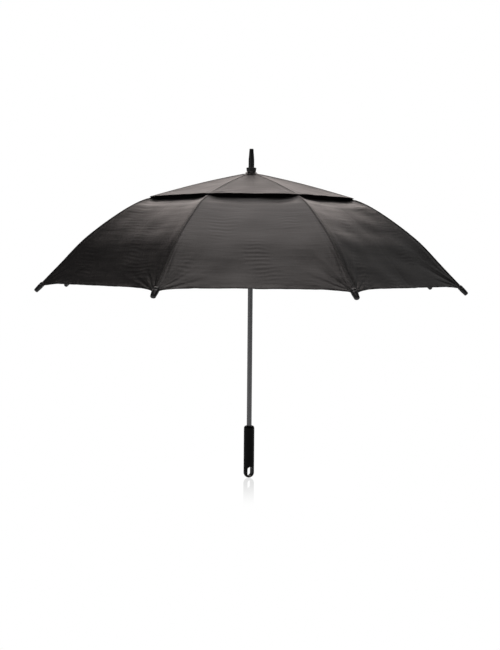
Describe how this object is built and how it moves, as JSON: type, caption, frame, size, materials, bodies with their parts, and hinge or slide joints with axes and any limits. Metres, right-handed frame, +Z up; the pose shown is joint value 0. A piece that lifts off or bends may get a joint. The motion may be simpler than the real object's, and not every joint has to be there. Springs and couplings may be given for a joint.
{
  "type": "golf umbrella",
  "caption": "Straight golf umbrella, open, with a black eight-rib vented double canopy, slim metal shaft and a straight round grip with a slot at its end.",
  "frame": {"origin": "lowest point of the handle, on the axis of the shaft", "axes": "+Z up along the shaft to the ferrule; -Y is the front, where the middle of one gore faces; ribs lie at 22.5 degrees and every 45 degrees after"},
  "size_m": [1.1254, 1.1254, 0.9295],
  "materials": {
    "canopy_cloth": "satin",
    "shaft_metal": "satin",
    "grip_rubber": "matte",
    "black_plastic": "satin",
    "rib_fibreglass": "gloss",
    "stretcher_steel": "satin",
    "steel_wire": "satin",
    "spring_steel": "satin"
  },
  "bodies": {
    "shaft": {"shaft_tube": "shaft_metal", "handle_grip": "grip_rubber", "crown_notch": "black_plastic", "crown_wire": "steel_wire", "canopy_washer": "black_plastic", "ferrule_collar": "black_plastic", "ferrule_spike": "black_plastic"},
    "runner": {"runner": "black_plastic", "runner_wire": "steel_wire"},
    "top_catch": {"top_catch": "spring_steel"},
    "bottom_catch": {"bottom_catch": "spring_steel"},
    "rib_inner_1": {"rib_inner_1": "rib_fibreglass"},
    "rib_outer_1": {"rib_outer_1": "rib_fibreglass", "rib_tip_1": "black_plastic"},
    "stretcher_1": {"stretcher_1": "stretcher_steel"},
    "canopy_panel_1": {"canopy_gore_1": "canopy_cloth"},
    "vent_panel_1": {"vent_gore_1": "canopy_cloth"},
    "rib_inner_2": {"rib_inner_2": "rib_fibreglass"},
    "rib_outer_2": {"rib_outer_2": "rib_fibreglass", "rib_tip_2": "black_plastic"},
    "stretcher_2": {"stretcher_2": "stretcher_steel"},
    "canopy_panel_2": {"canopy_gore_2": "canopy_cloth"},
    "vent_panel_2": {"vent_gore_2": "canopy_cloth"},
    "rib_inner_3": {"rib_inner_3": "rib_fibreglass"},
    "rib_outer_3": {"rib_outer_3": "rib_fibreglass", "rib_tip_3": "black_plastic"},
    "stretcher_3": {"stretcher_3": "stretcher_steel"},
    "canopy_panel_3": {"canopy_gore_3": "canopy_cloth"},
    "vent_panel_3": {"vent_gore_3": "canopy_cloth"},
    "rib_inner_4": {"rib_inner_4": "rib_fibreglass"},
    "rib_outer_4": {"rib_outer_4": "rib_fibreglass", "rib_tip_4": "black_plastic"},
    "stretcher_4": {"stretcher_4": "stretcher_steel"},
    "canopy_panel_4": {"canopy_gore_4": "canopy_cloth"},
    "vent_panel_4": {"vent_gore_4": "canopy_cloth"},
    "rib_inner_5": {"rib_inner_5": "rib_fibreglass"},
    "rib_outer_5": {"rib_outer_5": "rib_fibreglass", "rib_tip_5": "black_plastic"},
    "stretcher_5": {"stretcher_5": "stretcher_steel"},
    "canopy_panel_5": {"canopy_gore_5": "canopy_cloth"},
    "vent_panel_5": {"vent_gore_5": "canopy_cloth"},
    "rib_inner_6": {"rib_inner_6": "rib_fibreglass"},
    "rib_outer_6": {"rib_outer_6": "rib_fibreglass", "rib_tip_6": "black_plastic"},
    "stretcher_6": {"stretcher_6": "stretcher_steel"},
    "canopy_panel_6": {"canopy_gore_6": "canopy_cloth"},
    "vent_panel_6": {"vent_gore_6": "canopy_cloth"},
    "rib_inner_7": {"rib_inner_7": "rib_fibreglass"},
    "rib_outer_7": {"rib_outer_7": "rib_fibreglass", "rib_tip_7": "black_plastic"},
    "stretcher_7": {"stretcher_7": "stretcher_steel"},
    "canopy_panel_7": {"canopy_gore_7": "canopy_cloth"},
    "vent_panel_7": {"vent_gore_7": "canopy_cloth"},
    "rib_inner_8": {"rib_inner_8": "rib_fibreglass"},
    "rib_outer_8": {"rib_outer_8": "rib_fibreglass", "rib_tip_8": "black_plastic"},
    "stretcher_8": {"stretcher_8": "stretcher_steel"},
    "canopy_panel_8": {"canopy_gore_8": "canopy_cloth"},
    "vent_panel_8": {"vent_gore_8": "canopy_cloth"}
  },
  "joints": [
    {"name": "canopy_fold", "type": "hinge", "parent": "shaft", "child": "rib_inner_1", "pos_m": [0.00924, 0.00383, 0.851], "axis": [-0.3827, 0.9239, 0], "range_deg": [0, 72.5], "deforming": ["top_catch", "bottom_catch"]},
    {"name": "rib_flex_1", "type": "hinge", "parent": "rib_inner_1", "child": "rib_outer_1", "pos_m": [0.27716, 0.11481, 0.776], "axis": [-0.3827, 0.9239, 0], "range_deg": [-21.51, 0]},
    {"name": "stretcher_fold_1", "type": "hinge", "parent": "rib_inner_1", "child": "stretcher_1", "pos_m": [0.27716, 0.11481, 0.776], "axis": [-0.3827, 0.9239, 0], "range_deg": [-145.02, 0]},
    {"name": "skirt_fold_1", "type": "hinge", "parent": "shaft", "child": "canopy_panel_1", "pos_m": [-0.06839, -0.06839, 0.94318], "axis": [-0.7071, 0.7071, 0], "range_deg": [0, 48.85], "deforming": ["canopy_gore_1"]},
    {"name": "vent_fold_1", "type": "hinge", "parent": "shaft", "child": "vent_panel_1", "pos_m": [0.00007, 0.00007, 0.84456], "axis": [-0.7071, 0.7071, 0], "range_deg": [0, 71.59], "deforming": ["vent_gore_1"]},
    {"name": "rib_fold_2", "type": "hinge", "parent": "shaft", "child": "rib_inner_2", "pos_m": [0.00383, 0.00924, 0.851], "axis": [-0.9239, 0.3827, 0], "range_deg": [0, 72.51]},
    {"name": "rib_flex_2", "type": "hinge", "parent": "rib_inner_2", "child": "rib_outer_2", "pos_m": [0.11481, 0.27716, 0.776], "axis": [-0.9239, 0.3827, 0], "range_deg": [-21.51, 0]},
    {"name": "stretcher_fold_2", "type": "hinge", "parent": "rib_inner_2", "child": "stretcher_2", "pos_m": [0.11481, 0.27716, 0.776], "axis": [-0.9239, 0.3827, 0], "range_deg": [-145.02, 0]},
    {"name": "skirt_fold_2", "type": "hinge", "parent": "shaft", "child": "canopy_panel_2", "pos_m": [0, -0.09672, 0.94318], "axis": [-1, 0, 0], "range_deg": [0, 48.85], "deforming": ["canopy_gore_2"]},
    {"name": "vent_fold_2", "type": "hinge", "parent": "shaft", "child": "vent_panel_2", "pos_m": [0, 0.00011, 0.84456], "axis": [-1, 0, 0], "range_deg": [0, 71.59], "deforming": ["vent_gore_2"]},
    {"name": "rib_fold_3", "type": "hinge", "parent": "shaft", "child": "rib_inner_3", "pos_m": [-0.00383, 0.00924, 0.851], "axis": [-0.9239, -0.3827, 0], "range_deg": [0, 72.51]},
    {"name": "rib_flex_3", "type": "hinge", "parent": "rib_inner_3", "child": "rib_outer_3", "pos_m": [-0.11481, 0.27716, 0.776], "axis": [-0.9239, -0.3827, 0], "range_deg": [-21.51, 0]},
    {"name": "stretcher_fold_3", "type": "hinge", "parent": "rib_inner_3", "child": "stretcher_3", "pos_m": [-0.11481, 0.27716, 0.776], "axis": [-0.9239, -0.3827, 0], "range_deg": [-145.02, 0]},
    {"name": "skirt_fold_3", "type": "hinge", "parent": "shaft", "child": "canopy_panel_3", "pos_m": [0.06839, -0.06839, 0.94318], "axis": [-0.7071, -0.7071, 0], "range_deg": [0, 48.85], "deforming": ["canopy_gore_3"]},
    {"name": "vent_fold_3", "type": "hinge", "parent": "shaft", "child": "vent_panel_3", "pos_m": [-0.00007, 0.00007, 0.84456], "axis": [-0.7071, -0.7071, 0], "range_deg": [0, 71.59], "deforming": ["vent_gore_3"]},
    {"name": "rib_fold_4", "type": "hinge", "parent": "shaft", "child": "rib_inner_4", "pos_m": [-0.00924, 0.00383, 0.851], "axis": [-0.3827, -0.9239, 0], "range_deg": [0, 72.51]},
    {"name": "rib_flex_4", "type": "hinge", "parent": "rib_inner_4", "child": "rib_outer_4", "pos_m": [-0.27716, 0.11481, 0.776], "axis": [-0.3827, -0.9239, 0], "range_deg": [-21.51, 0]},
    {"name": "stretcher_fold_4", "type": "hinge", "parent": "rib_inner_4", "child": "stretcher_4", "pos_m": [-0.27716, 0.11481, 0.776], "axis": [-0.3827, -0.9239, 0], "range_deg": [-145.02, 0]},
    {"name": "skirt_fold_4", "type": "hinge", "parent": "shaft", "child": "canopy_panel_4", "pos_m": [0.09672, 0, 0.94318], "axis": [0, -1, 0], "range_deg": [0, 48.85], "deforming": ["canopy_gore_4"]},
    {"name": "vent_fold_4", "type": "hinge", "parent": "shaft", "child": "vent_panel_4", "pos_m": [-0.00011, 0, 0.84456], "axis": [0, -1, 0], "range_deg": [0, 71.59], "deforming": ["vent_gore_4"]},
    {"name": "rib_fold_5", "type": "hinge", "parent": "shaft", "child": "rib_inner_5", "pos_m": [-0.00924, -0.00383, 0.851], "axis": [0.3827, -0.9239, 0], "range_deg": [0, 72.51]},
    {"name": "rib_flex_5", "type": "hinge", "parent": "rib_inner_5", "child": "rib_outer_5", "pos_m": [-0.27716, -0.11481, 0.776], "axis": [0.3827, -0.9239, 0], "range_deg": [-21.51, 0]},
    {"name": "stretcher_fold_5", "type": "hinge", "parent": "rib_inner_5", "child": "stretcher_5", "pos_m": [-0.27716, -0.11481, 0.776], "axis": [0.3827, -0.9239, 0], "range_deg": [-145.02, 0]},
    {"name": "skirt_fold_5", "type": "hinge", "parent": "shaft", "child": "canopy_panel_5", "pos_m": [0.06839, 0.06839, 0.94318], "axis": [0.7071, -0.7071, 0], "range_deg": [0, 48.85], "deforming": ["canopy_gore_5"]},
    {"name": "vent_fold_5", "type": "hinge", "parent": "shaft", "child": "vent_panel_5", "pos_m": [-0.00007, -0.00007, 0.84456], "axis": [0.7071, -0.7071, 0], "range_deg": [0, 71.59], "deforming": ["vent_gore_5"]},
    {"name": "rib_fold_6", "type": "hinge", "parent": "shaft", "child": "rib_inner_6", "pos_m": [-0.00383, -0.00924, 0.851], "axis": [0.9239, -0.3827, 0], "range_deg": [0, 72.51]},
    {"name": "rib_flex_6", "type": "hinge", "parent": "rib_inner_6", "child": "rib_outer_6", "pos_m": [-0.11481, -0.27716, 0.776], "axis": [0.9239, -0.3827, 0], "range_deg": [-21.51, 0]},
    {"name": "stretcher_fold_6", "type": "hinge", "parent": "rib_inner_6", "child": "stretcher_6", "pos_m": [-0.11481, -0.27716, 0.776], "axis": [0.9239, -0.3827, 0], "range_deg": [-145.02, 0]},
    {"name": "skirt_fold_6", "type": "hinge", "parent": "shaft", "child": "canopy_panel_6", "pos_m": [0, 0.09672, 0.94318], "axis": [1, 0, 0], "range_deg": [0, 48.85], "deforming": ["canopy_gore_6"]},
    {"name": "vent_fold_6", "type": "hinge", "parent": "shaft", "child": "vent_panel_6", "pos_m": [0, -0.00011, 0.84456], "axis": [1, 0, 0], "range_deg": [0, 71.59], "deforming": ["vent_gore_6"]},
    {"name": "rib_fold_7", "type": "hinge", "parent": "shaft", "child": "rib_inner_7", "pos_m": [0.00383, -0.00924, 0.851], "axis": [0.9239, 0.3827, 0], "range_deg": [0, 72.51]},
    {"name": "rib_flex_7", "type": "hinge", "parent": "rib_inner_7", "child": "rib_outer_7", "pos_m": [0.11481, -0.27716, 0.776], "axis": [0.9239, 0.3827, 0], "range_deg": [-21.51, 0]},
    {"name": "stretcher_fold_7", "type": "hinge", "parent": "rib_inner_7", "child": "stretcher_7", "pos_m": [0.11481, -0.27716, 0.776], "axis": [0.9239, 0.3827, 0], "range_deg": [-145.02, 0]},
    {"name": "skirt_fold_7", "type": "hinge", "parent": "shaft", "child": "canopy_panel_7", "pos_m": [-0.06839, 0.06839, 0.94318], "axis": [0.7071, 0.7071, 0], "range_deg": [0, 48.85], "deforming": ["canopy_gore_7"]},
    {"name": "vent_fold_7", "type": "hinge", "parent": "shaft", "child": "vent_panel_7", "pos_m": [0.00007, -0.00007, 0.84456], "axis": [0.7071, 0.7071, 0], "range_deg": [0, 71.59], "deforming": ["vent_gore_7"]},
    {"name": "rib_fold_8", "type": "hinge", "parent": "shaft", "child": "rib_inner_8", "pos_m": [0.00924, -0.00383, 0.851], "axis": [0.3827, 0.9239, 0], "range_deg": [0, 72.51]},
    {"name": "rib_flex_8", "type": "hinge", "parent": "rib_inner_8", "child": "rib_outer_8", "pos_m": [0.27716, -0.11481, 0.776], "axis": [0.3827, 0.9239, 0], "range_deg": [-21.51, 0]},
    {"name": "stretcher_fold_8", "type": "hinge", "parent": "rib_inner_8", "child": "stretcher_8", "pos_m": [0.27716, -0.11481, 0.776], "axis": [0.3827, 0.9239, 0], "range_deg": [-145.02, 0]},
    {"name": "skirt_fold_8", "type": "hinge", "parent": "shaft", "child": "canopy_panel_8", "pos_m": [-0.09672, 0, 0.94318], "axis": [0, 1, 0], "range_deg": [0, 48.85], "deforming": ["canopy_gore_8"]},
    {"name": "vent_fold_8", "type": "hinge", "parent": "shaft", "child": "vent_panel_8", "pos_m": [0.00011, 0, 0.84456], "axis": [0, 1, 0], "range_deg": [0, 71.59], "deforming": ["vent_gore_8"]},
    {"name": "runner_pivot", "type": "hinge", "parent": "stretcher_1", "child": "runner", "pos_m": [0.00924, 0.00383, 0.701], "axis": [-0.3827, 0.9239, 0], "range_deg": [0, 72.52]},
    {"name": "top_catch_press", "type": "slide", "parent": "shaft", "child": "top_catch", "axis": [0, -1, 0], "range_m": [0, 0.0033], "stiffness_N_per_m": 400, "springref_m": -0.002},
    {"name": "bottom_catch_press", "type": "slide", "parent": "shaft", "child": "bottom_catch", "axis": [0, -1, 0], "range_m": [0, 0.0033], "stiffness_N_per_m": 400, "springref_m": -0.002}
  ],
  "couplings": [
    {"joint": "rib_flex_1", "follows": "canopy_fold", "ratio": -0.29655},
    {"joint": "stretcher_fold_1", "follows": "canopy_fold", "ratio": -2},
    {"joint": "skirt_fold_1", "follows": "canopy_fold", "ratio": 0.67372},
    {"joint": "vent_fold_1", "follows": "canopy_fold", "ratio": 0.9873},
    {"joint": "rib_fold_2", "follows": "canopy_fold", "ratio": 1},
    {"joint": "rib_flex_2", "follows": "canopy_fold", "ratio": -0.29655},
    {"joint": "stretcher_fold_2", "follows": "canopy_fold", "ratio": -2},
    {"joint": "skirt_fold_2", "follows": "canopy_fold", "ratio": 0.67372},
    {"joint": "vent_fold_2", "follows": "canopy_fold", "ratio": 0.9873},
    {"joint": "rib_fold_3", "follows": "canopy_fold", "ratio": 1},
    {"joint": "rib_flex_3", "follows": "canopy_fold", "ratio": -0.29655},
    {"joint": "stretcher_fold_3", "follows": "canopy_fold", "ratio": -2},
    {"joint": "skirt_fold_3", "follows": "canopy_fold", "ratio": 0.67372},
    {"joint": "vent_fold_3", "follows": "canopy_fold", "ratio": 0.9873},
    {"joint": "rib_fold_4", "follows": "canopy_fold", "ratio": 1},
    {"joint": "rib_flex_4", "follows": "canopy_fold", "ratio": -0.29655},
    {"joint": "stretcher_fold_4", "follows": "canopy_fold", "ratio": -2},
    {"joint": "skirt_fold_4", "follows": "canopy_fold", "ratio": 0.67372},
    {"joint": "vent_fold_4", "follows": "canopy_fold", "ratio": 0.9873},
    {"joint": "rib_fold_5", "follows": "canopy_fold", "ratio": 1},
    {"joint": "rib_flex_5", "follows": "canopy_fold", "ratio": -0.29655},
    {"joint": "stretcher_fold_5", "follows": "canopy_fold", "ratio": -2},
    {"joint": "skirt_fold_5", "follows": "canopy_fold", "ratio": 0.67372},
    {"joint": "vent_fold_5", "follows": "canopy_fold", "ratio": 0.9873},
    {"joint": "rib_fold_6", "follows": "canopy_fold", "ratio": 1},
    {"joint": "rib_flex_6", "follows": "canopy_fold", "ratio": -0.29655},
    {"joint": "stretcher_fold_6", "follows": "canopy_fold", "ratio": -2},
    {"joint": "skirt_fold_6", "follows": "canopy_fold", "ratio": 0.67372},
    {"joint": "vent_fold_6", "follows": "canopy_fold", "ratio": 0.9873},
    {"joint": "rib_fold_7", "follows": "canopy_fold", "ratio": 1},
    {"joint": "rib_flex_7", "follows": "canopy_fold", "ratio": -0.29655},
    {"joint": "stretcher_fold_7", "follows": "canopy_fold", "ratio": -2},
    {"joint": "skirt_fold_7", "follows": "canopy_fold", "ratio": 0.67372},
    {"joint": "vent_fold_7", "follows": "canopy_fold", "ratio": 0.9873},
    {"joint": "rib_fold_8", "follows": "canopy_fold", "ratio": 1},
    {"joint": "rib_flex_8", "follows": "canopy_fold", "ratio": -0.29655},
    {"joint": "stretcher_fold_8", "follows": "canopy_fold", "ratio": -2},
    {"joint": "skirt_fold_8", "follows": "canopy_fold", "ratio": 0.67372},
    {"joint": "vent_fold_8", "follows": "canopy_fold", "ratio": 0.9873},
    {"joint": "runner_pivot", "follows": "canopy_fold", "ratio": 1}
  ]
}
